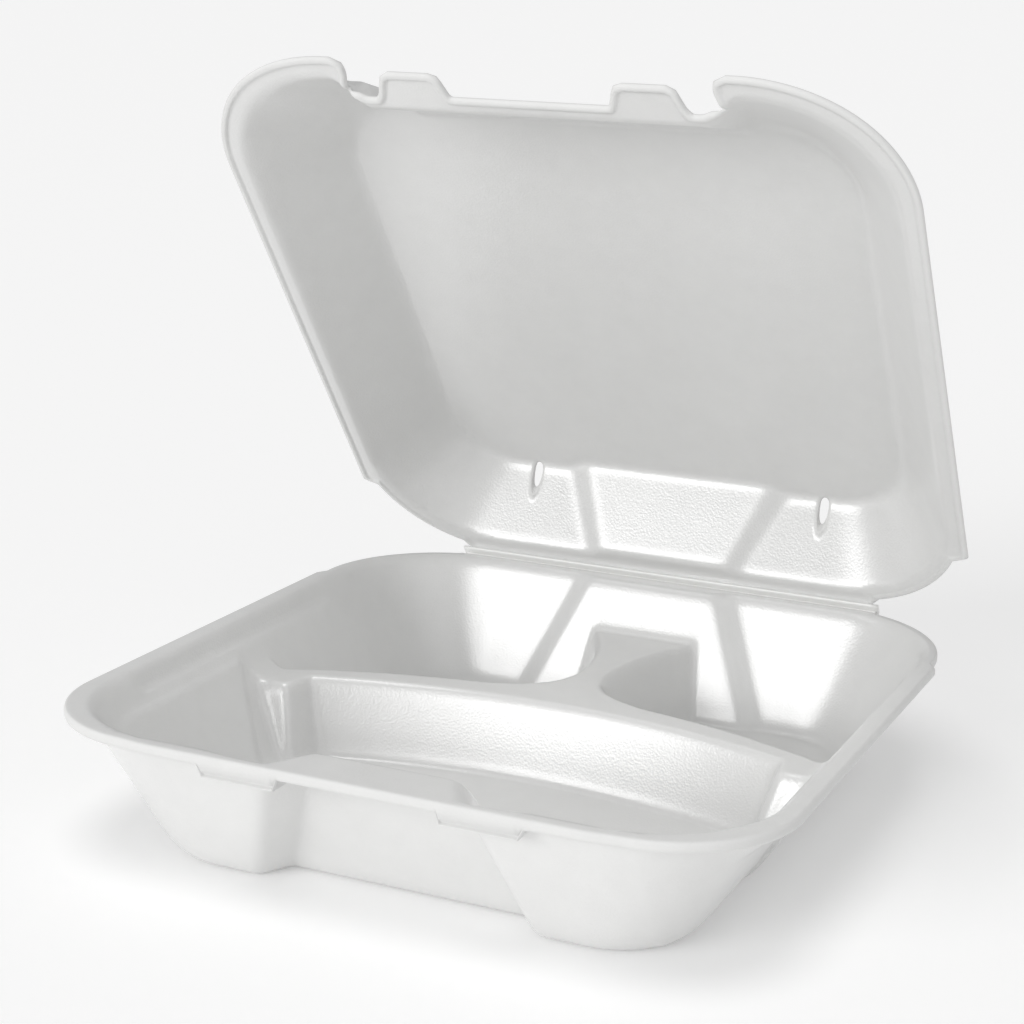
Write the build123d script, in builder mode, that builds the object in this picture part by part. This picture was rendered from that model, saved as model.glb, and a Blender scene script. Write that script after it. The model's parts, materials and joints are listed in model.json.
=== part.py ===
from build123d import *
import os

# A three-compartment food container, thermoformed in one piece from white polystyrene
# foam sheet: a deep tray, a shallow lid, and a crushed strip between them that is the
# hinge. The sheet is one moulding; it is two solids here only because the lid turns.
#
# Frame: +X along the hinge, +Y to the back, +Z up, the table at Z 0. The origin is on
# the table, under the middle of the whole outline with the lid standing open.
# Front and rear of every outline are given as distances in front of the hinge line.

# the sheet
foam = 2.5              # thickness of the foam
wall_run = 2.75         # the same sheet measured level through a sloping wall
overlap = 1.0           # shapes that are joined run into each other by this much
flange = 2.4            # thickness of the rims, slightly pressed
web = 1.15              # thickness of the crushed strip at the hinge

# the hinge
hinge_y = 113.4         # hinge line, behind the origin
hinge_z = 45.2          # hinge line, above the table
hinge_half = 83.0       # half the length of the hinge line
lid_open = 53.0         # degrees from closed, as the container stands
crease = 0.1            # each half of the strip stops this far from the hinge line
strip_gap = 0.15        # each half of the strip lies this far below or above the line
strip_tray = 6.6        # length of the tray's half, out to inside the rim
strip_lid = 4.7         # length of the lid's half
step_length = 5.2       # the tray's rim is cut away above its half, this far forward
step_height = 6.0
step_side = 0.5         # the cut is longer than the strip by this much at each end
riser_start = 2.6       # the lid's half steps up to the lid's rim between these distances
riser_length = 2.2
riser_short = 0.4       # the step stays this far below the top of the lid's rim

# the rims, seen from above
rim_half = 115.2
rim_front = 241.0
rim_rear = 2.5
rim_corner = 48.0
thumb_half = 117.5      # half width over the thumb lips on the two sides
thumb_front = 185.0
base_thumb_rear = 52.0
lid_thumb_rear = 34.0
thumb_bevel = 1.6       # cut on the ends of the thumb lips

# heights above the hinge line
rim_rise = 1.4          # top of the tray's rim
rim_gap = 0.3           # between the two rims when the lid is shut
lid_top = 33.5          # outside of the lid's panel
rim_lip_drop = 3.4      # the tray's rim turns down at its outer edge
rim_lip_width = 2.2

# inside of the tray at the rim, and its outside at the table
mouth_half = 110.6
mouth_front = 235.0
mouth_rear = 8.6
mouth_corner = 43.0
foot_half = 86.0
foot_front = 217.0
foot_rear = 22.5
foot_corner = 24.0
foot_round = 5.0
floor_half = 84.65
floor_front = 215.45
floor_rear = 24.25
floor_corner = 23.0
floor_round = 4.0

# inside of the lid at its rim and at its panel
lid_mouth_half = 111.8
lid_mouth_front = 234.6
lid_mouth_rear = 7.0
lid_mouth_corner = 43.0
panel_half = 89.5
panel_front = 199.0
panel_rear = 22.5
panel_corner = 28.0

# outside of the lid at the same two heights
skirt_half = 112.8
skirt_front = 236.6
skirt_rear = 5.4
skirt_corner = 44.0
crown_half = 90.1
crown_front = 199.8
crown_rear = 21.0

# the middle of the front and rear walls is set in from the outside
front_set = 11.5
front_set_side = 6.5
front_set_top = 23.0
front_set_foot = 40.0
rear_set = 3.8
rear_set_side = 6.0
rear_set_top = 22.5
rear_set_foot = 42.0
rear_set_panel = 35.0
lid_set_half = 54.0
lid_set_front = 223.0
lid_set_panel = 196.6
lid_set_sheet = 1.0     # the sheet measured level through the lid's front wall, at the rim
lid_set_crown = 3.6     # and at the panel
set_sheet = 1.5         # the set-in walls are this much wider on the inside, each side
lid_rear_sheet = 1.2    # the sheet measured level through the lid's rear wall, at the rim
lid_rear_crown = 1.5    # and at the panel
reach = 250.0           # cutting shapes run out past the front walls as far as this
reach_rear = -6.0       # and past the rear walls as far as this

# the dividers, in distances in front of the hinge line
ridge_height = 28.7     # top of the dividers above the table
ridge_draft = 8.5
ridge_front_middle = 102.8
ridge_front_end = 124.0
ridge_rear_middle = 91.0
ridge_rear_end = 117.0
ridge_reach = 104.0     # half length of the ridge, ends run into the side walls
hollow_reach = 80.0     # half length of the hollow under it, inside the side walls
ridge_skin = 2.9        # the sheet measured level through a ridge's flank
spine_neck_half = 6.0
spine_root_half = 20.0
spine_neck_front = 97.0
spine_neck_rear = 52.0
spine_rear = 12.0
spine_hollow_rear = 33.0
spine_flare_front = 14.0
spine_flare_rear = 10.0

# the latch: tabs on the lid's front edge, lugs below the tray's front rim
lid_front_middle = 227.6
notch_outer = 60.8
notch_inner = 51.0
tab_front = 235.6
tab_outer = 48.0
tab_inner = 29.0
tab_root_inner = 26.0
notch_slant = 1.5
lug_inner = 26.0
lug_outer = 51.0
lug_front = 240.4
lug_back = 230.0
lug_drop = 5.4
lug_foot_front = 238.8
lug_overlap = 0.5       # the lugs run up into the rim by this much

# breathing slots beside the lid's rear wall
vent_x = 57.0
vent_y = 20.0
vent_length = 4.6
vent_width = 3.6
vent_cut = 24.0

tray_plane = Plane(origin=(0, hinge_y, hinge_z), x_dir=(1, 0, 0), z_dir=(0, 0, 1))
lid_plane = tray_plane.rotated((-lid_open, 0, 0))
floor_z = foam - hinge_z
table_z = -hinge_z
rim_under = rim_rise - flange
lid_rim = rim_rise + rim_gap
lid_rim_top = lid_rim + flange
panel_z = lid_top - foam
slope_top = rim_rise + 1.0


def outline(plane, half_width, front, rear, corner):
    # a rectangle with round corners, lying on the plane in front of the hinge
    with BuildSketch(plane) as drawn:
        with Locations((0, -(front + rear) / 2)):
            RectangleRounded(2 * half_width, front - rear, corner)
    return drawn.sketch


def polygon(plane, points):
    with BuildSketch(plane) as drawn:
        with BuildLine():
            Polyline(*points, close=True)
        make_face()
    return drawn.sketch


def set_in(plane, half_width, wall, depth_side, depth, far):
    # a four-sided section that cuts a wall back: narrow at the wall, wider further out
    spread = depth_side / depth * abs(far - wall)
    inner = [(-half_width, -wall), (half_width, -wall)]
    outer = [(half_width + spread, -far), (-half_width - spread, -far)]
    return polygon(plane, inner + outer)


def bow(plane, front_middle, front_end, rear_middle, rear_end, length):
    # a band bowed to the rear in the middle
    with BuildSketch(plane) as drawn:
        with BuildLine():
            ThreePointArc((-length, -front_end), (0, -front_middle), (length, -front_end))
            Line((length, -front_end), (length, -rear_end))
            ThreePointArc((length, -rear_end), (0, -rear_middle), (-length, -rear_end))
            Line((-length, -rear_end), (-length, -front_end))
        make_face()
    return drawn.sketch


def spine(plane, grow, rear):
    # the ridge between the two rear compartments, flared at both ends
    neck = spine_neck_half + grow
    root = spine_root_half + grow
    points = [
        (-root, -spine_neck_front), (root, -spine_neck_front),
        (neck, -spine_neck_front + spine_flare_front),
        (neck, -spine_neck_rear), (root, -rear - spine_flare_rear), (root, -rear),
        (-root, -rear), (-root, -rear - spine_flare_rear), (-neck, -spine_neck_rear),
        (-neck, -spine_neck_front + spine_flare_front),
    ]
    return polygon(plane, points)


def dividers(top, foot, thin, length, rear):
    # both ridges between two heights; thin is how much smaller the shape is all round
    top_plane = tray_plane.offset(top)
    foot_plane = tray_plane.offset(foot)
    slope = ridge_draft * (top - foot) / (ridge_height - foam)
    with BuildPart() as ridges:
        loft([
            bow(foot_plane, ridge_front_middle + slope - thin, ridge_front_end + slope - thin,
                ridge_rear_middle - slope + thin, ridge_rear_end - slope + thin, length),
            bow(top_plane, ridge_front_middle - thin, ridge_front_end - thin,
                ridge_rear_middle + thin, ridge_rear_end + thin, length),
        ])
        loft([spine(foot_plane, slope - thin, rear), spine(top_plane, -thin, rear)])
    return ridges.part


# Tray: the outside of the tub, cut back in the middle of its front and rear walls
tray_outer_top = tray_plane.offset(rim_under + overlap)
tray_table = tray_plane.offset(table_z)
with BuildPart() as tray_outside:
    loft([
        outline(tray_outer_top, mouth_half + wall_run, mouth_front + wall_run,
                mouth_rear - wall_run, mouth_corner + wall_run),
        outline(tray_table, foot_half, foot_front, foot_rear, foot_corner),
    ])
    fillet(tray_outside.edges().group_by(Axis.Z)[0], foot_round)
    loft([
        set_in(tray_plane.offset(rim_under), front_set_top, mouth_front - front_set,
               front_set_side, front_set, reach),
        set_in(tray_table, front_set_foot, foot_front - front_set,
               front_set_side, front_set, reach),
    ], mode=Mode.SUBTRACT)
    loft([
        set_in(tray_plane.offset(rim_under), rear_set_top, mouth_rear + rear_set - wall_run,
               rear_set_side, rear_set, reach_rear),
        set_in(tray_table, rear_set_foot, foot_rear + rear_set,
               rear_set_side, rear_set, reach_rear),
    ], mode=Mode.SUBTRACT)

# the inside of the tub, with the same set-in walls one sheet further in
tray_mouth = tray_plane.offset(slope_top)
tray_floor = tray_plane.offset(floor_z)
with BuildPart() as tray_inside:
    loft([
        outline(tray_mouth, mouth_half, mouth_front, mouth_rear, mouth_corner),
        outline(tray_floor, floor_half, floor_front, floor_rear, floor_corner),
    ])
    fillet(tray_inside.edges().group_by(Axis.Z)[0], floor_round)
    loft([
        set_in(tray_mouth, front_set_top + set_sheet, mouth_front - front_set - wall_run,
               front_set_side, front_set, reach),
        set_in(tray_table, front_set_foot + set_sheet, foot_front - front_set - wall_run,
               front_set_side, front_set, reach),
    ], mode=Mode.SUBTRACT)
    loft([
        set_in(tray_mouth, rear_set_top + set_sheet, mouth_rear + rear_set,
               rear_set_side, rear_set, reach_rear),
        set_in(tray_table, rear_set_foot + set_sheet, foot_rear + rear_set + wall_run,
               rear_set_side, rear_set, reach_rear),
    ], mode=Mode.SUBTRACT)

with BuildPart() as base_tray:
    add(tray_outside.part)
    # the rim, its turned-down edge and the thumb lips
    extrude(outline(tray_plane.offset(rim_under), rim_half, rim_front, rim_rear, rim_corner),
            amount=flange)
    extrude(outline(tray_plane.offset(rim_under), thumb_half, thumb_front, base_thumb_rear,
                    thumb_bevel), amount=flange)
    extrude(outline(tray_plane.offset(rim_rise - rim_lip_drop), rim_half, rim_front, rim_rear,
                    rim_corner), amount=rim_lip_drop)
    # under the rim, between its edge and the tub
    under_rim = outline(tray_plane.offset(rim_rise - rim_lip_drop), rim_half - rim_lip_width,
                        rim_front - rim_lip_width, rim_rear + rim_lip_width,
                        rim_corner - rim_lip_width)
    extrude(under_rim, amount=rim_lip_drop - flange, mode=Mode.SUBTRACT)
    add(tray_outside.part)
    # the two lugs that hold the lid's tabs
    for side in (-1, 1):
        low = tray_plane.offset(rim_under - lug_drop)
        high = tray_plane.offset(rim_under + lug_overlap)
        loft([
            polygon(low, [(side * lug_inner, -lug_back), (side * lug_outer, -lug_back),
                          (side * lug_outer, -lug_foot_front), (side * lug_inner, -lug_foot_front)]),
            polygon(high, [(side * lug_inner, -lug_back), (side * lug_outer, -lug_back),
                           (side * lug_outer, -lug_front), (side * lug_inner, -lug_front)]),
        ])
    # the three compartments, then the hollow below the dividers
    ridge_top = ridge_height - hinge_z
    add(tray_inside.part - dividers(ridge_top, floor_z - overlap, 0, ridge_reach, spine_rear),
        mode=Mode.SUBTRACT)
    add(dividers(ridge_top - foam, table_z - overlap, ridge_skin, hollow_reach, spine_hollow_rear),
        mode=Mode.SUBTRACT)
    # the lid's half of the strip folds down into this step behind the rim
    with Locations(tray_plane.offset(-strip_gap)):
        Box(2 * (hinge_half + step_side), step_length, step_height,
            align=(Align.CENTER, Align.MAX, Align.MIN), mode=Mode.SUBTRACT)
    with Locations(tray_plane.offset(-strip_gap).location * Location((0, -crease, 0))):
        Box(2 * hinge_half, strip_tray - crease, web, align=(Align.CENTER, Align.MAX, Align.MAX))
base_tray.part.label = "base_tray"

# Lid, drawn shut over the tray and placed by the turned plane
lid_mouth_plane = lid_plane.offset(lid_rim)
lid_panel_plane = lid_plane.offset(panel_z)
lid_top_plane = lid_plane.offset(lid_top)
with BuildPart() as lid_outside:
    loft([
        outline(lid_plane.offset(lid_rim + overlap), skirt_half, skirt_front, skirt_rear,
                skirt_corner),
        outline(lid_top_plane, crown_half, crown_front, crown_rear, panel_corner),
    ])
    loft([
        set_in(lid_plane.offset(lid_rim_top), lid_set_half, lid_set_front + lid_set_sheet,
               front_set_side, front_set, reach),
        set_in(lid_plane.offset(lid_top + overlap), lid_set_half, lid_set_panel + lid_set_crown,
               front_set_side, front_set, reach),
    ], mode=Mode.SUBTRACT)
    loft([
        set_in(lid_plane.offset(lid_rim_top), rear_set_top, lid_mouth_rear + rear_set - lid_rear_sheet,
               rear_set_side, rear_set, reach_rear),
        set_in(lid_plane.offset(lid_top + overlap), rear_set_panel,
               panel_rear + rear_set - lid_rear_crown,
               rear_set_side, rear_set, reach_rear),
    ], mode=Mode.SUBTRACT)

with BuildPart() as lid_inside:
    loft([
        outline(lid_plane.offset(lid_rim - overlap / 2), lid_mouth_half, lid_mouth_front,
                lid_mouth_rear, lid_mouth_corner),
        outline(lid_panel_plane, panel_half, panel_front, panel_rear, panel_corner),
    ])
    loft([
        set_in(lid_plane.offset(lid_rim - overlap), lid_set_half + set_sheet, lid_set_front,
               front_set_side, front_set, reach),
        set_in(lid_plane.offset(lid_top), lid_set_half + set_sheet, lid_set_panel,
               front_set_side, front_set, reach),
    ], mode=Mode.SUBTRACT)
    loft([
        set_in(lid_plane.offset(lid_rim - overlap), rear_set_top + set_sheet, lid_mouth_rear + rear_set,
               rear_set_side, rear_set, reach_rear),
        set_in(lid_plane.offset(lid_top), rear_set_panel + set_sheet, panel_rear + rear_set,
               rear_set_side, rear_set, reach_rear),
    ], mode=Mode.SUBTRACT)

with BuildPart() as hinged_lid:
    extrude(outline(lid_mouth_plane, rim_half, rim_front, rim_rear, rim_corner), amount=flange)
    extrude(outline(lid_mouth_plane, thumb_half, thumb_front, lid_thumb_rear, thumb_bevel),
            amount=flange)
    # the front edge is set back between the corners, and leaves the two tabs standing
    front_cut = [(-notch_outer, -reach), (-notch_outer + notch_slant, -lid_front_middle),
                 (-notch_inner, -lid_front_middle), (-tab_outer, -tab_front),
                 (-tab_inner, -tab_front), (-tab_root_inner, -lid_front_middle),
                 (tab_root_inner, -lid_front_middle), (tab_inner, -tab_front),
                 (tab_outer, -tab_front), (notch_inner, -lid_front_middle),
                 (notch_outer - notch_slant, -lid_front_middle), (notch_outer, -reach)]
    extrude(polygon(lid_mouth_plane, front_cut), amount=flange, mode=Mode.SUBTRACT)
    add(lid_outside.part)
    add(lid_inside.part, mode=Mode.SUBTRACT)
    # the lid's half of the strip, and the step up from it to the rim
    with Locations(lid_plane.offset(strip_gap).location * Location((0, -crease, 0))):
        Box(2 * hinge_half, strip_lid - crease, web, align=(Align.CENTER, Align.MAX, Align.MIN))
    with Locations(lid_plane.offset(strip_gap).location * Location((0, -riser_start, 0))):
        Box(2 * hinge_half, riser_length, lid_rim_top - strip_gap - riser_short,
            align=(Align.CENTER, Align.MAX, Align.MIN))
    # two breathing slots where the rear wall meets the panel
    vents = lid_plane.offset(panel_z).location
    with Locations(*[vents * Location((side * vent_x, -vent_y, 0)) for side in (-1, 1)]):
        Box(vent_width, vent_length, vent_cut, mode=Mode.SUBTRACT)
hinged_lid.part.label = "hinged_lid"

os.makedirs("parts", exist_ok=True)
export_step(base_tray.part, "parts/base_tray.step")
export_step(hinged_lid.part, "parts/hinged_lid.step")
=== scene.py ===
import json
import math

import bpy
import numpy as np
from mathutils import Matrix, Vector


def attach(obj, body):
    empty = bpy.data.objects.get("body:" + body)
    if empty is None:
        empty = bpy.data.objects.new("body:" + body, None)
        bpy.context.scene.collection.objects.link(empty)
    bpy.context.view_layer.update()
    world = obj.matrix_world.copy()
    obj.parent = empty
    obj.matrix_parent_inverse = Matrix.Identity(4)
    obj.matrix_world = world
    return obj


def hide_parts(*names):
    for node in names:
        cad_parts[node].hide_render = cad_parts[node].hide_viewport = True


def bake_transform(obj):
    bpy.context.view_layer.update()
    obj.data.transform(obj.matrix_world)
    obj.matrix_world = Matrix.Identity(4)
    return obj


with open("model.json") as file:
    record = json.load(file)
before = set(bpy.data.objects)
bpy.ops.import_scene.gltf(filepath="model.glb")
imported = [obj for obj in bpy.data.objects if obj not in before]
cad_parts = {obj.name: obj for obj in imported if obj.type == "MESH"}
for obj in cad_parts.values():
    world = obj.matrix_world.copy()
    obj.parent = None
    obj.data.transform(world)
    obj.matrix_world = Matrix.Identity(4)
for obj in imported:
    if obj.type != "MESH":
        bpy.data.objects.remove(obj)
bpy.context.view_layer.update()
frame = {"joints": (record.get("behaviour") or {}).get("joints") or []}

# A foam clamshell with three compartments, pressed from one sheet. Its shapes are written in
# millimetres from the hinge line: x along the hinge, d out in front of it, and height above it.
# The lid is written as if shut over the tray, then turned open about the hinge.
hinge = frame["joints"][0]
hingeY, hingeZ = hinge["pos_m"][1], hinge["pos_m"][2]
lidOpen = -hinge["range_deg"][0]  # degrees from shut to the way it stands
mm = 0.001

tray = {
    "rimTop": 1.4,
    "floor": -42.7,
    "under": -45.2,
    "mouth": (110.6, 235.0, 8.6, 40.0),  # half width, front, rear, corner radius
    "foot": (84.7, 215.4, 24.3, 24.0),
    "rim": (115.2, 241.0, 2.5, 48.0),
    "thumbLip": (117.4, 239.8, 52.0, 39.0),  # half width, front, rear end, corner radius
    "frontBlock": ((24.5, 220.75, 1.4), (41.5, 202.75, -45.2), (32.5, 235.0, 1.4)),
    "rearBlock": ((24.0, 12.4, 1.4), (43.5, 29.0, -45.2), (30.0, 8.6, 1.4)),
    "lipBottom": -2.0,
    "lipWidth": 2.2,
    "sheet": 2.5,
    "thinnest": 1.1,
    "underSlope": 6.0,  # steepness where the underside steps up or down
    "floorRound": 7.0,  # reach of each blend between two faces, measured in height
    "frontRound": 4.0,
    "rearRound": 3.0,
    "rimRound": 3.6,
    "flangeRound": 5.0,  # how much softer the rim's inner edge is between the front corners
    "flangeDepth": (196.0, 212.0),
    "flangeSide": (38.0, 54.0),
}
dividers = {
    "top": -16.5,
    "slope": 3.0,  # rise of the flanks over their run
    "front": (102.8, 0.0020),  # distance at the middle, and how it bows forward with x squared
    "rear": (91.0, 0.0024),
    "neck": 5.6,
    "neckAt": 66.0,
    "flareRear": 0.0065,
    "flareFront": 0.017,
    "corner": 16.0,
    "endBlock": (59.7, 0.215, 128.5),  # its side runs at this x plus a share of d, out to this d
    "hollowEnd": 80.0,
    "hollowRear": 33.0,
    "flareReach": 26.0,
    "crestRound": 3.6,
    "footRound": 4.0,
    "endRound": 4.0,  # added to the foot's blend at the two ends
    "endRoundSide": (84.0, 94.0),
}
shoulder = {
    "ledge": -5.4,
    "steep": 3.1,
    "width": 2.2,
    "slope": 0.25,
    "front": 192.0,
    "rear": 62.0,
    "runOut": 8.0,  # half the length over which each end dies away
    "side": (84.0, 96.0),
    "clear": 14.0,
    "round": 1.2,
}
wallStep = {
    "top": (129.0, -7.4),
    "foot": (147.0, -40.0),
    "depth": 1.3,
    "width": 2.6,
    "wallSlope": 1.7,  # height gained per millimetre that the wall moves in
    "below": (8.0, 12.0),
    "front": (196.0, 214.0),
    "side": (74.0, 84.0),
}
lugs = {
    "inner": 26.0,
    "outer": 51.0,
    "back": 230.0,
    "bottom": -5.5,
    "slope": 5.0,
    "ledge": 0.9,
    "ledgeEnd": 0.4,
}
lid = {
    "rim": 1.7,
    "rimTop": 4.1,
    "panel": 31.0,
    "mouthHeight": 1.2,
    "mouth": (111.8, 234.6, 7.0, 43.0),
    "panelEdge": (89.5, 199.0, 22.5, 28.0),
    "outline": (115.2, 241.0, 2.5, 48.0),
    "thumbLip": (117.4, 239.8, 33.0, 46.0),
    "frontBlock": ((57.5, 223.0, 1.2), (57.5, 196.6, 31.0), (65.5, 234.6, 1.2)),
    "rearBlock": ((24.0, 9.8, 1.2), (36.5, 26.3, 31.0), (28.8, 7.0, 1.2)),
    "frontMiddle": 227.6,
    "notch": (60.2, 48.6, 226.0),
    "tab": (47.8, 29.0, 236.4, 2.6),
    "vent": (57.0, 20.0, 1.8, 2.4),  # where it is, then half its width and half its length
    "sheet": 2.5,
    "thinnest": 1.1,
    "panelRound": 4.0,
    "frontRound": 4.0,
    "rearRound": 3.0,
    "flangeRound": 2.4,
    "proudEdge": (0.8, 1.8, 2.6),  # height, and where it starts and ends in from the outline
    "flangeWidth": 4.0,
    "outsideSlope": 6.0,
    "cornerEnd": (0.25, 234.0, 3.0, 1.6),  # slant, from this d, then two roundings
    "notchSides": (1.6, 0.28, 3.0, 0.8),  # drawn in, taper, from this far up, and shift
    "notchRounds": (4.0, 1.2),
    "tabRoot": 215.0,
    "tabSlantOver": 8.0,
    "tabRounds": (1.6, 1.0, 2.0),
}
strip = {
    "half": 82.5,
    "radius": 0.72,
    "thickness": 1.0,
    "tail": 3.2,
    "edge": 1.0,
    "lengths": 56,
    "bendSteps": 14,
}
# how both rims thin down towards the fold: height at the start, rise, and where it starts
fold = {
    "tray": (-0.15, 0.75, 1.6),
    "lidInside": (0.15, 0.75, 1.6),
    "lidOutside": (1.3, 1.2, 1.4),
    "side": (82.0, 86.0),
    "clearAtSide": 20,
    "clearInFront": 40,
    "insideEnd": (4, 8),
    "outsideEnd": (5, 10),
    "round": 0.8,
}


def roundedBox(x, d, half, front, rear, corner):
    # distance to a round-cornered outline, negative inside it
    qx = np.abs(x) - half + corner
    qd = np.abs(d - (front + rear) / 2) - (front - rear) / 2 + corner
    outside = np.hypot(np.maximum(qx, 0), np.maximum(qd, 0))
    return outside + np.minimum(np.maximum(qx, qd), 0) - corner


def softMin(a, b, reach):
    near = np.maximum(reach - np.abs(a - b), 0) / reach
    return np.minimum(a, b) - near * near * reach / 4


def softMax(a, b, reach):
    return -softMin(-a, -b, reach)


def fade(value, low, high):
    t = np.clip((value - low) / (high - low), 0, 1)
    return t * t * (3 - 2 * t)


def drafted(x, d, mouth, foot, mouthHeight, footHeight):
    # a wall that runs straight from one outline to another
    inMouth = roundedBox(x, d, *mouth)
    outOfFoot = roundedBox(x, d, *foot)
    return footHeight + (mouthHeight - footHeight) * outOfFoot / (outOfFoot - inMouth)


def tilted(x, d, points):
    # height of the plane through three points, the same on both sides of the middle
    p, q, r = (np.array(point) for point in points)
    n = np.cross(q - p, r - p)
    return p[2] - (n[0] * (np.abs(x) - p[0]) + n[1] * (d - p[1])) / n[2]


def alongDepth(d, points):
    # height of a plane that leans only forward or back, through the first two points
    p, q = points[0], points[1]
    return p[2] + (d - p[1]) * (q[2] - p[2]) / (q[1] - p[1])


def offsetSheet(surface, x, d, thickness, side):
    # the other face of a sheet: the lowest or highest reach of a ball rolled on this face
    best = surface(x, d) + side * thickness
    for share, turns in ((0.4, 8), (0.75, 12), (0.93, 16), (1.0, 16)):
        drop = thickness * math.sqrt(1 - share * share)
        for k in range(turns):
            angle = 2 * math.pi * (k + 0.5 * (turns == 12)) / turns
            height = surface(
                x + share * thickness * math.cos(angle), d + share * thickness * math.sin(angle)
            ) + side * drop
            best = np.maximum(best, height) if side > 0 else np.minimum(best, height)
    return best


def thinned(x, d, start, rise, begin):
    # height of the ramp that presses a rim thin at the fold
    side = fold["clearAtSide"] * fade(np.abs(x), *fold["side"])
    return start + rise * (d - begin) + side


def dividerShape(x, d):
    # the bowed ridge and the spine behind it, as one flat-topped shape with sloping flanks
    g = dividers
    bowFront = g["front"][0] + g["front"][1] * x * x
    bowRear = g["rear"][0] + g["rear"][1] * x * x
    behind = np.maximum(g["neckAt"] - d, 0)
    ahead = np.maximum(d - g["neckAt"], 0)
    ahead = np.minimum(ahead, g["flareReach"])
    halfNeck = g["neck"] + g["flareRear"] * behind**2 + g["flareFront"] * ahead**2
    rearSide = softMin(bowRear - d, np.abs(x) - halfNeck, g["corner"])
    # both ends widen forward into a blunt corner
    start, turned, endFront = g["endBlock"]
    endSide = softMax(start + turned * d - np.abs(x), d - endFront, 3.0)
    frontSide = np.minimum(d - bowFront, endSide)
    return g["top"] - g["slope"] * np.maximum(rearSide, frontSide)


def trayInside(x, d, withDividers=True):
    g = tray
    wall = drafted(x, d, g["mouth"], g["foot"], g["rimTop"], g["floor"])
    # the shoulder that stacked containers rest on, along both sides
    depth = -roundedBox(x, d, *g["mouth"])
    s = shoulder
    ledge = s["ledge"] - s["slope"] * (depth - s["width"])
    carve = softMax(g["rimTop"] - s["steep"] * depth, ledge, s["round"])
    along = fade(d, s["rear"] - s["runOut"], s["rear"] + s["runOut"])
    along = along * (1 - fade(d, s["front"] - s["runOut"], s["front"] + s["runOut"]))
    along = along * fade(np.abs(x), *s["side"])
    wall = softMin(wall, carve + s["clear"] * (1 - along), s["round"])
    # a shallow upright step in each side wall
    w = wallStep
    lean = (w["foot"][0] - w["top"][0]) / (w["foot"][1] - w["top"][1])
    line = w["top"][0] + (wall - w["top"][1]) * lean
    proud = fade(d - line, 0, w["width"]) * fade(-wall, *w["below"]) * (1 - fade(d, *w["front"]))
    wall = wall + w["wallSlope"] * w["depth"] * proud * fade(np.abs(x), *w["side"])
    height = softMax(wall, g["floor"], g["floorRound"])
    # the stretches of the front and rear walls that are set in between the corners
    for points, reach in ((g["frontBlock"], g["frontRound"]), (g["rearBlock"], g["rearRound"])):
        block = softMin(alongDepth(d, points), tilted(x, d, points), reach)
        height = softMax(height, block, reach)
    if withDividers:
        v = dividers
        ridge = softMin(dividerShape(x, d), v["top"], v["crestRound"])
        foot = v["footRound"] + v["endRound"] * fade(np.abs(x), *v["endRoundSide"])
        height = softMax(height, ridge, foot)
    flange = fade(d, *g["flangeDepth"]) * (1 - fade(np.abs(x), *g["flangeSide"]))
    height = softMin(height, g["rimTop"], g["rimRound"] + g["flangeRound"] * flange)
    return softMin(height, thinned(x, d, *fold["tray"]), fold["round"])


def thumbLip(x, d, half, front, rear, corner):
    # the wider rim round the sides and the front, which ends in a step near the hinge
    return softMax(roundedBox(x, d, half, front, -200.0, corner), rear - d, 1.6)


def rimOutline(x, d, rim, lip):
    # the rim with its wider part, and the straight side along the hinge
    edge = softMin(roundedBox(x, d, *rim), thumbLip(x, d, *lip), 1.0)
    hingeSide = roundedBox(x, d, strip["half"], 20.0, strip["edge"], 0.6)
    return softMin(edge, hingeSide, 1.6)


def trayOutline(x, d):
    return rimOutline(x, d, tray["rim"], tray["thumbLip"])


def trayUnder(x, d):
    g = tray
    full = offsetSheet(trayInside, x, d, g["sheet"], -1)
    plain = offsetSheet(lambda a, b: trayInside(a, b, False), x, d, g["sheet"], -1)
    # the hollow under the dividers stops short of the walls
    room = np.minimum(dividers["hollowEnd"] - np.abs(x), d - dividers["hollowRear"])
    hollow = plain + g["underSlope"] * np.maximum(room, 0)
    low = softMin(full, hollow, 2.0)
    low = np.minimum(low, hollow)
    low = np.maximum(low, g["under"])
    outline = trayOutline(x, d)
    lip = g["lipBottom"] + g["underSlope"] * (-outline - g["lipWidth"])
    low = softMin(low, np.maximum(lip, g["lipBottom"]), 0.6)
    # two lugs under the front rim
    u = lugs
    middle, half = (u["inner"] + u["outer"]) / 2, (u["outer"] - u["inner"]) / 2
    away = np.maximum(np.abs(np.abs(x) - middle) - half, u["back"] - d)
    lug = u["bottom"] + u["slope"] * np.maximum(away, 0)
    low = np.minimum(low, lug)
    return np.minimum(low, trayInside(x, d) - g["thinnest"])


def lidInside(x, d):
    g = lid
    wall = drafted(x, d, g["mouth"], g["panelEdge"], g["mouthHeight"], g["panel"])
    height = softMin(wall, g["panel"], g["panelRound"])
    for points, reach in ((g["frontBlock"], g["frontRound"]), (g["rearBlock"], g["rearRound"])):
        block = softMax(alongDepth(d, points), tilted(x, d, points), reach)
        height = softMin(height, block, reach)
    # the flange, with a thin proud edge
    outline = lidOutline(x, d, False)
    rise, inFrom, inTo = g["proudEdge"]
    flange = g["rim"] + rise * fade(-outline, inFrom, inTo)
    height = softMax(height, flange, g["flangeRound"])
    ramp = thinned(x, d, *fold["lidInside"]) + fold["clearInFront"] * fade(d, *fold["insideEnd"])
    return softMin(height, ramp, fold["round"])


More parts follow.
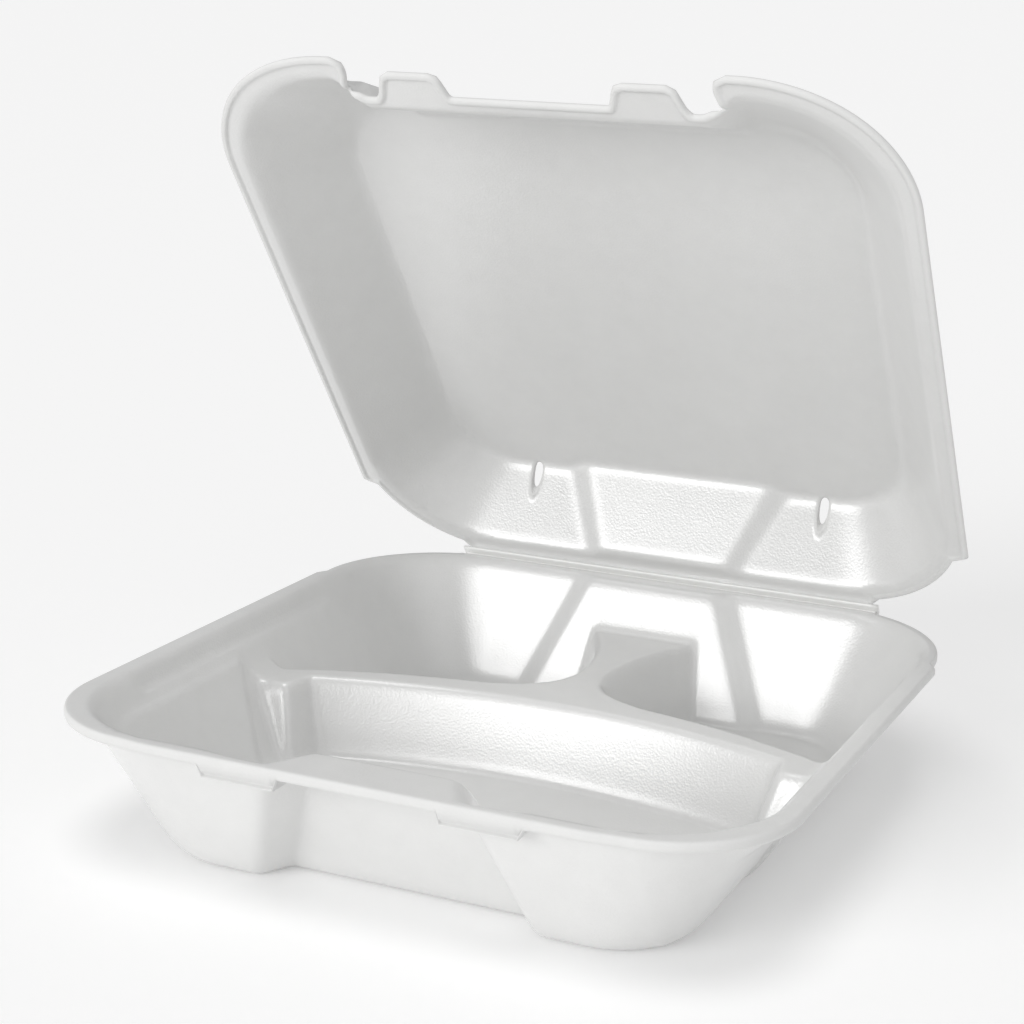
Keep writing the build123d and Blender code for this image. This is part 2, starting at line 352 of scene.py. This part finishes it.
def lidOutline(x, d, withVents=True):
    g = lid
    edge = rimOutline(x, d, g["outline"], g["thumbLip"])
    # the front edge is set back between the corners
    ax = np.abs(x)
    outer, inner, bottom = g["notch"]
    slant, slantFrom, innerRound, outerRound = g["cornerEnd"]
    cornerEnd = ax - outer + slant * (d - slantFrom)
    edge = softMax(edge, -softMax(cornerEnd, g["frontMiddle"] - d, innerRound), outerRound)
    # the round notch beside each tab
    drawnIn, taper, taperFrom, shift = g["notchSides"]
    bottomRound, lipRound = g["notchRounds"]
    notchHalf = (outer - inner) / 2 - drawnIn + taper * (d - bottom - taperFrom)
    notch = softMax(np.abs(ax - (outer + inner) / 2 + shift) - notchHalf, bottom - d, bottomRound)
    edge = softMax(edge, -notch, lipRound)
    # the tabs
    tabOuter, tabInner, tabFront, tabSlant = g["tab"]
    frontRound, rootRound, joinRound = g["tabRounds"]
    lean = tabSlant * (tabFront - d) / g["tabSlantOver"]
    side = np.abs(ax - (tabOuter + tabInner) / 2) - (tabOuter - tabInner) / 2 - lean
    tab = softMax(softMax(side, d - tabFront, frontRound), g["tabRoot"] - d, rootRound)
    edge = softMin(edge, tab, joinRound)
    if withVents:
        ventX, ventD, ventRadius, ventLength = g["vent"]
        vent = np.hypot(ax - ventX, (d - ventD) * ventRadius / ventLength) - ventRadius
        edge = np.maximum(edge, -vent)
    return edge


def lidOutside(x, d):
    g = lid
    high = offsetSheet(lidInside, x, d, g["sheet"], 1)
    past = np.maximum(-lidOutline(x, d, False) - g["flangeWidth"], 0)
    flange = g["rimTop"] + g["outsideSlope"] * past
    high = softMin(high, np.maximum(flange, g["rimTop"]), 0.4)
    ramp = thinned(x, d, *fold["lidOutside"]) + fold["clearInFront"] * fade(d, *fold["outsideEnd"])
    high = softMin(high, ramp, fold["round"])
    return np.maximum(high, lidInside(x, d) + g["thinnest"])


def gridLines(*runs):
    lines = []
    for start, end, step in runs:
        lines.append(np.linspace(start, end, max(2, round((end - start) / step) + 1))[:-1])
    return np.concatenate(lines + [[runs[-1][1]]])


def mirroredLines(*runs):
    half = gridLines(*runs)
    return np.concatenate([-half[:0:-1], half])


def pressedSheet(name, xLines, dLines, outline, top, bottom, warp, ledge, place, insets, edgeRadius):
    # one closed sheet: a grid of faces above and below, then rows that follow the outline in to
    # a rounded edge; insets are the distances of those rows from the outline
    gridX, gridD = np.meshgrid(xLines, dLines, indexing="ij")
    gridD = warp(gridX, gridD)
    inside = outline(gridX, gridD) < -insets[0] - 0.3
    kept = inside[:-1, :-1] & inside[1:, :-1] & inside[1:, 1:] & inside[:-1, 1:]
    for _ in range(4):  # no two kept cells may meet only at a corner
        a, b, c, e = kept[:-1, :-1], kept[1:, 1:], kept[1:, :-1], kept[:-1, 1:]
        crossed = (a & b & ~c & ~e) | (c & e & ~a & ~b)
        if not crossed.any():
            break
        i, j = np.nonzero(crossed)
        for across, down in ((0, 0), (1, 0), (0, 1), (1, 1)):
            kept[i + across, j + down] = False
    columns = gridX.shape[1]
    i, j = np.nonzero(kept)
    corner = i * columns + j
    corners = np.stack([corner, corner + columns, corner + columns + 1, corner + 1], 1)
    used, cells = np.unique(corners, return_inverse=True)
    cells = cells.reshape(corners.shape)
    x, d = gridX.ravel()[used], gridD.ravel()[used]
    # edges that belong to one cell only, joined into loops
    ends = np.concatenate([cells[:, [k, (k + 1) % 4]] for k in range(4)])
    forward = ends[:, 0] * len(used) + ends[:, 1]
    backward = ends[:, 1] * len(used) + ends[:, 0]
    following = dict(ends[~np.isin(forward, backward)].tolist())
    loops = []
    while following:
        start, point = following.popitem()
        loop = [start]
        while point != start:
            loop.append(point)
            point = following.pop(point)
        loops.append(np.array(loop))

    def slope(px, pd, step=0.05):
        gx = (outline(px + step, pd) - outline(px - step, pd)) / (2 * step)
        gd = (outline(px, pd + step) - outline(px, pd - step)) / (2 * step)
        size = np.maximum(np.hypot(gx, gd), 0.3)
        return gx / size, gd / size, size

    def onRow(px, pd, inset, turns, even=0):
        # moves points straight out to the row at this distance from the outline
        for turn in range(turns):
            if turn < even:
                px = 0.5 * px + 0.25 * (np.roll(px, 1) + np.roll(px, -1))
                pd = 0.5 * pd + 0.25 * (np.roll(pd, 1) + np.roll(pd, -1))
            gx, gd, size = slope(px, pd)
            short = (outline(px, pd) + inset) / size
            px, pd = px - gx * short, pd - gd * short
        return px, pd

    for loop in loops:
        x[loop], d[loop] = onRow(x[loop], d[loop], insets[0], 4)
        x[loop], d[loop] = onRow(x[loop], d[loop], insets[0], 7, 4)

    count = len(used)
    points = [np.stack([x, d, top(x, d)], 1), np.stack([x, d, bottom(x, d)], 1)]
    faces = [cells, cells[:, ::-1] + count]
    trimmed = [np.zeros(2 * len(cells), bool)]  # faces on the cut edge of the sheet
    total = 2 * count
    rounding = np.radians([28, 55, 90])
    for loop in loops:
        above, below = [loop], [loop + count]
        px, pd = x[loop], d[loop]
        for inset in insets[1:]:
            px, pd = onRow(px, pd, inset, 3)
            for height, rows in ((top(px, pd), above), (bottom(px, pd), below)):
                points.append(np.stack([px, pd, height], 1))
                rows.append(np.arange(total, total + len(loop)))
                total += len(loop)
        high, low = top(px, pd), bottom(px, pd)
        gx, gd, _ = slope(px, pd)
        bend = np.minimum(edgeRadius, 0.48 * (high - low))
        setBack = ledge(px, pd)
        under = np.where(setBack > 0.1, np.minimum(bend, 0.35), bend)
        upper, lower = high - bend, low + under
        sections = [(math.sin(a), high - bend * (1 - math.cos(a)), 0.0) for a in rounding]
        sections += [(1.0, upper + (lower - upper) * share, back)
                     for share, back in ((0.7, 0.0), (0.76, 1.0), (0.9, 1.0), (0.94, 0.0))]
        sections += [(math.sin(a), low + under * (1 - math.cos(a)), 0.0) for a in rounding[::-1]]
        for share, height, back in sections:
            reach = share * insets[-1] - setBack * back
            points.append(np.stack([px + gx * reach, pd + gd * reach, height], 1))
            above.append(np.arange(total, total + len(loop)))
            total += len(loop)
        rows = above + below[::-1]
        for k, (near, far) in enumerate(zip(rows[:-1], rows[1:])):
            faces.append(np.stack([near, far, np.roll(far, -1), np.roll(near, -1)], 1))
            trimmed.append(np.full(len(near), len(insets) <= k < len(above)))
    # forward runs to -Y, which turns every face round
    piece = meshPiece(name, place(np.concatenate(points)), np.concatenate(faces)[:, ::-1])
    piece.data.polygons.foreach_set("material_index", np.concatenate(trimmed).astype(np.int32))
    return piece


def meshPiece(name, points, faces):
    mesh = bpy.data.meshes.new(name)
    mesh.from_pydata(points.tolist(), [], faces.tolist())
    mesh.update()
    mesh.shade_smooth()
    piece = bpy.data.objects.new(name, mesh)
    bpy.context.scene.collection.objects.link(piece)
    return piece


def onTray(points):
    # d runs forward, so it is turned round to face -Y; the faces are wound to match
    return np.stack(
        [points[:, 0] * mm, hingeY - points[:, 1] * mm, hingeZ + points[:, 2] * mm], 1
    )


def onLid(points):
    c, s = math.cos(math.radians(lidOpen)), math.sin(math.radians(lidOpen))
    d, w = points[:, 1] * mm, points[:, 2] * mm
    return np.stack([points[:, 0] * mm, hingeY - d * c + w * s, hingeZ + d * s + w * c], 1)


def followBow(x, d):
    # grid lines bend with the dividers near them
    near = fade(d, 28, 90) * (1 - fade(d, 120, 182))
    return d + 0.0021 * np.minimum(np.abs(x), 100) ** 2 * near


def lugLedge(x, d):
    # how far a thin line is set back along the bottom of each lug
    u = lugs
    across = fade(np.abs(x), u["inner"] - u["ledgeEnd"], u["inner"] + u["ledgeEnd"])
    across = across * (1 - fade(np.abs(x), u["outer"] - u["ledgeEnd"], u["outer"] + u["ledgeEnd"]))
    return u["ledge"] * across * (d > u["back"])


trayPiece = pressedSheet(
    "trayShell",
    mirroredLines((0, 48, 1.2), (48, 84, 1.8), (84, 119, 1.0)),
    gridLines((0, 30, 1.0), (30, 86, 1.8), (86, 128, 1.0), (128, 200, 2.0), (200, 243, 1.0)),
    trayOutline, trayInside, trayUnder, followBow, lugLedge, onTray,
    insets=(3.2, 2.7, 2.2, 1.7, 1.1), edgeRadius=1.1,
)
print("tray:", len(trayPiece.data.polygons), "faces")

lidPiece = pressedSheet(
    "lidShell",
    mirroredLines((0, 24, 1.5), (24, 66, 0.8), (66, 84, 1.6), (84, 119, 1.0)),
    gridLines((0, 12, 1.0), (12, 26, 0.8), (26, 36, 1.0), (36, 186, 2.5), (186, 220, 1.2),
              (220, 243, 0.8)),
    lidOutline, lidOutside, lidInside, lambda x, d: d, lambda x, d: 0 * x, onLid,
    insets=(3.2, 2.7, 2.3, 1.9, 1.1), edgeRadius=1.1,
)
print("lid:", len(lidPiece.data.polygons), "faces")


def colour(hexValue):
    # sRGB hex to linear
    parts = [int(hexValue[k:k + 2], 16) / 255 for k in (1, 3, 5)]
    return [p / 12.92 if p <= 0.04045 else ((p + 0.055) / 1.055) ** 2.4 for p in parts] + [1.0]


def addNode(tree, kind, settings=None, inputs=None):
    node = tree.nodes.new(kind)
    for key, value in (settings or {}).items():
        setattr(node, key, value)
    for key, value in (inputs or {}).items():
        if isinstance(value, bpy.types.NodeSocket):
            tree.links.new(value, node.inputs[key])
        else:
            node.inputs[key].default_value = value
    return node


def hingeStrip():
    # a thin crushed web round the back of the hinge line, with its ends buried in both rims
    g = strip
    turn = math.radians(180 - lidOpen)
    c, s = math.cos(math.radians(lidOpen)), math.sin(math.radians(lidOpen))
    profile = []
    for radius in (g["radius"] - g["thickness"] / 2, g["radius"] + g["thickness"] / 2):
        line = [(g["tail"] * t, -radius) for t in (1, 0.66, 0.33)]
        bend = np.linspace(0, turn, g["bendSteps"])
        line += [(-radius * math.sin(a), -radius * math.cos(a)) for a in bend]
        # up the lid's outside, which faces (-s, c) in d and height
        line += [(g["tail"] * t * c - radius * s, g["tail"] * t * s + radius * c)
                 for t in (0.33, 0.66, 1)]
        profile.append(line)
    ring = profile[0] + profile[1][::-1]
    places = np.linspace(-g["half"], g["half"], g["lengths"])
    points = np.array([(x, d, z) for x in places for d, z in ring])
    n = len(ring)
    faces = []
    for k in range(len(places) - 1):
        for m in range(n):
            a, b = k * n + m, k * n + (m + 1) % n
            faces.append((a, a + n, b + n, b))
    half = n // 2
    for k, flip in ((0, 1), (len(places) - 1, -1)):
        for m in range(half - 1):
            quad = (k * n + m, k * n + m + 1, k * n + n - 2 - m, k * n + n - 1 - m)
            faces.append(quad[::flip])
    return meshPiece("hingeStrip", onTray(points), np.array(faces))


stripPiece = hingeStrip()
print("hinge strip")

bead = {
    "half": 81.5,
    "forward": 0.5,  # out of the bottom of the fold
    "radius": 0.42,
    "sides": 12,
    "lengths": 110,
}


def beadTree():
    # foam squeezed up out of the fold: a thin rod of short lengths, swept along the hinge
    tree = bpy.data.node_groups.new("foldBead", "GeometryNodeTree")
    face = tree.interface
    face.new_socket("Half Length", in_out="INPUT", socket_type="NodeSocketFloat")
    face.new_socket("Bead Radius", in_out="INPUT", socket_type="NodeSocketFloat")
    face.new_socket("Lengths", in_out="INPUT", socket_type="NodeSocketInt")
    face.new_socket("Sides", in_out="INPUT", socket_type="NodeSocketInt")
    face.new_socket("Foam", in_out="INPUT", socket_type="NodeSocketMaterial")
    face.new_socket("Geometry", in_out="OUTPUT", socket_type="NodeSocketGeometry")
    given = addNode(tree, "NodeGroupInput").outputs
    far = addNode(tree, "ShaderNodeCombineXYZ", None, {"X": given["Half Length"]})
    near = addNode(tree, "ShaderNodeVectorMath", {"operation": "SCALE"},
                   {"Vector": far.outputs["Vector"], "Scale": -1.0})
    line = addNode(tree, "GeometryNodeCurvePrimitiveLine", None,
                   {"Start": near.outputs["Vector"], "End": far.outputs["Vector"]})
    spaced = addNode(tree, "GeometryNodeResampleCurve", None,
                     {"Curve": line.outputs["Curve"], "Count": given["Lengths"]})
    ring = addNode(tree, "GeometryNodeCurvePrimitiveCircle", None,
                   {"Resolution": given["Sides"], "Radius": given["Bead Radius"]})
    rod = addNode(tree, "GeometryNodeCurveToMesh", None,
                  {"Curve": spaced.outputs["Curve"], "Profile Curve": ring.outputs["Curve"],
                   "Fill Caps": True})
    real = addNode(tree, "GeometryNodeRealizeInstances", None, {"Geometry": rod.outputs["Mesh"]})
    finish = addNode(tree, "GeometryNodeSetMaterial", None,
                     {"Geometry": real.outputs["Geometry"], "Material": given["Foam"]})
    addNode(tree, "NodeGroupOutput", None, {"Geometry": finish.outputs["Geometry"]})
    return tree


def foldBead(material):
    g = bead
    maker = bpy.data.objects.new("foldBeadMaker", bpy.data.meshes.new("foldBeadMaker"))
    bpy.context.scene.collection.objects.link(maker)
    nodes = maker.modifiers.new("bead", "NODES")
    nodes.node_group = beadTree()
    values = {"Half Length": g["half"] * mm, "Bead Radius": g["radius"] * mm,
              "Lengths": g["lengths"], "Sides": g["sides"], "Foam": material}
    for item in nodes.node_group.interface.items_tree:
        if item.in_out == "INPUT":
            nodes[item.identifier] = values[item.name]
    ready = maker.evaluated_get(bpy.context.evaluated_depsgraph_get())
    mesh = bpy.data.meshes.new_from_object(ready)
    mesh.name = "foldBead"
    maker.modifiers.clear()
    bpy.data.objects.remove(maker)
    lean = math.radians((180 - lidOpen) / 2)  # from upright to the middle of the opening
    forward = g["forward"] * mm
    middle = Vector((0, hingeY - math.sin(lean) * forward, hingeZ + math.cos(lean) * forward))
    mesh.transform(Matrix.Translation(middle))
    mesh.shade_smooth()
    piece = bpy.data.objects.new("foldBead", mesh)
    bpy.context.scene.collection.objects.link(piece)
    return piece


foam = {
    "white": "#E3E3E2",
    "shade": "#DDDDDC",
    "roughness": 0.28,
    "gloss": 1.0,
    "cutRoughness": 0.75,
    "cutGloss": 0.3,
    "crushedWhite": "#FAFAF9",
    "crushedShade": "#F6F6F4",
    "crushedRoughness": 0.3,
    "crushedGloss": 0.6,
    "skin": 0.5,  # the skin that the hot mould leaves
    "skinRoughness": 0.22,
    "cell": 0.75,  # millimetres; the real cells are about 0.2 mm, drawn coarser so that they show
    "cellDepth": 0.05,
    "wave": 9.0,
    "waveDepth": 0.05,
}


def foamSheet(name, white, shade, roughness, gloss, skin):
    # extruded polystyrene foam, pressed hot: a pale satin skin with a fine grain of closed cells
    material = bpy.data.materials.new(name)
    material.use_nodes = True
    tree = material.node_tree
    shader = tree.nodes["Principled BSDF"]
    place = addNode(tree, "ShaderNodeTexCoord").outputs["Object"]
    cells = addNode(tree, "ShaderNodeTexVoronoi", {"feature": "SMOOTH_F1"},
                    {"Vector": place, "Scale": 1000 / foam["cell"], "Smoothness": 0.6})
    wave = addNode(tree, "ShaderNodeTexNoise", None,
                   {"Vector": place, "Scale": 1000 / foam["wave"], "Detail": 3.0})
    blotch = addNode(tree, "ShaderNodeMix", {"data_type": "RGBA"},
                     {"Factor": wave.outputs["Fac"], "A": colour(white), "B": colour(shade)})
    grain = addNode(tree, "ShaderNodeBump", None,
                    {"Height": cells.outputs["Distance"], "Distance": foam["cellDepth"] * mm,
                     "Strength": 1.0})
    swell = addNode(tree, "ShaderNodeBump", None,
                    {"Height": wave.outputs["Fac"], "Distance": foam["waveDepth"] * mm,
                     "Strength": 1.0, "Normal": grain.outputs["Normal"]})
    tree.links.new(blotch.outputs["Result"], shader.inputs["Base Color"])
    tree.links.new(swell.outputs["Normal"], shader.inputs["Normal"])
    shader.inputs["Roughness"].default_value = roughness
    shader.inputs["IOR"].default_value = 1.59  # polystyrene
    shader.inputs["Specular IOR Level"].default_value = gloss
    shader.inputs["Coat Weight"].default_value = skin
    shader.inputs["Coat Roughness"].default_value = foam["skinRoughness"]
    return material


foamMaterial = foamSheet("pressedPolystyreneFoam", foam["white"], foam["shade"],
                         foam["roughness"], foam["gloss"], foam["skin"])
# the trimming knife opens the cells, so the edge of the sheet is dull
cutMaterial = foamSheet("cutPolystyreneFoam", foam["white"], foam["shade"],
                        foam["cutRoughness"], foam["cutGloss"], 0.0)
# crushed solid in the fold, the foam is whiter and smoother
crushedMaterial = foamSheet("crushedPolystyreneFoam", foam["crushedWhite"], foam["crushedShade"],
                            foam["crushedRoughness"], foam["crushedGloss"], 0.0)
beadPiece = foldBead(crushedMaterial)
print("fold bead:", len(beadPiece.data.polygons), "faces")
for piece, material in ((trayPiece, foamMaterial), (lidPiece, foamMaterial),
                        (stripPiece, crushedMaterial), (beadPiece, crushedMaterial)):
    if not piece.data.materials:
        piece.data.materials.append(material)
for piece in (trayPiece, lidPiece):
    piece.data.materials.append(cutMaterial)
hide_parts("base_tray")
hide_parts("hinged_lid")
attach(trayPiece, "tray")
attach(lidPiece, "lid")
for piece in (stripPiece, beadPiece):
    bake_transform(piece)
print("finishes")

studio = {
    "camera": (0.275, -0.6326, 0.2712),
    "azimuth": 24.38,
    "down": 14.19,
    "roll": 1.43,
    "lens": 77.38,
    "world": 0.46,
    "floor": "#F4F4F4",
    "floorReach": 40.0,
    "floorDrop": 0.0002,  # keeps the floor just clear of the tray's feet
    "floorGlow": 0.16,
    # azimuth from the front and elevation in degrees, the lamp's width in degrees, and strength
    "lights": {
        "keyLeft": (-30, 18, 25, 0.78),
        "keyRight": (-11, 19, 23, 0.45),
        "above": (0, 78, 30, 0.75),
        "sideFill": (45, 30, 40, 0.15),
    },
}
floorMesh = bpy.data.meshes.new("floor")
reach, drop = studio["floorReach"], studio["floorDrop"]
floorCorners = [(-reach, -reach, -drop), (reach, -reach, -drop), (reach, reach, -drop),
                (-reach, reach, -drop)]
floorMesh.from_pydata(floorCorners, [], [(0, 1, 2, 3)])
floorPiece = bpy.data.objects.new("floor", floorMesh)
bpy.context.scene.collection.objects.link(floorPiece)
floorMaterial = bpy.data.materials.new("whitePaper")
floorMaterial.use_nodes = True
paper = floorMaterial.node_tree.nodes["Principled BSDF"]
paper.inputs["Base Color"].default_value = colour(studio["floor"])
paper.inputs["Roughness"].default_value = 0.9
paper.inputs["Emission Color"].default_value = (1, 1, 1, 1)
paper.inputs["Emission Strength"].default_value = studio["floorGlow"]
floorMesh.materials.append(floorMaterial)

world = bpy.data.worlds.new("softRoom")
bpy.context.scene.world = world
world.use_nodes = True
world.node_tree.nodes["Background"].inputs["Color"].default_value = (1, 1, 1, 1)
world.node_tree.nodes["Background"].inputs["Strength"].default_value = studio["world"]


def softLight(name, azimuth, elevation, spread, strength):
    # positive azimuth is to the right
    light = bpy.data.lights.new(name, "SUN")
    light.angle = math.radians(spread)
    light.energy = strength
    lamp = bpy.data.objects.new(name, light)
    bpy.context.scene.collection.objects.link(lamp)
    a, e = math.radians(azimuth), math.radians(elevation)
    direction = Vector((math.sin(a) * math.cos(e), -math.cos(a) * math.cos(e), math.sin(e)))
    lamp.location = direction * 2
    lamp.rotation_euler = direction.to_track_quat("Z", "Y").to_euler()
    return lamp


for name, settings in studio["lights"].items():
    softLight(name, *settings)

camera = bpy.data.objects.new("camera", bpy.data.cameras.new("camera"))
bpy.context.scene.collection.objects.link(camera)
camera.data.lens = studio["lens"]
camera.data.sensor_width = 36
camera.data.clip_start = 0.01
turn = (
    Matrix.Rotation(math.radians(studio["azimuth"]), 4, "Z")
    @ Matrix.Rotation(math.radians(90 - studio["down"]), 4, "X")
    @ Matrix.Rotation(math.radians(studio["roll"]), 4, "Z")
)
camera.matrix_world = Matrix.Translation(studio["camera"]) @ turn
bpy.context.scene.camera = camera
bpy.context.scene.view_settings.view_transform = "Standard"
print("studio")
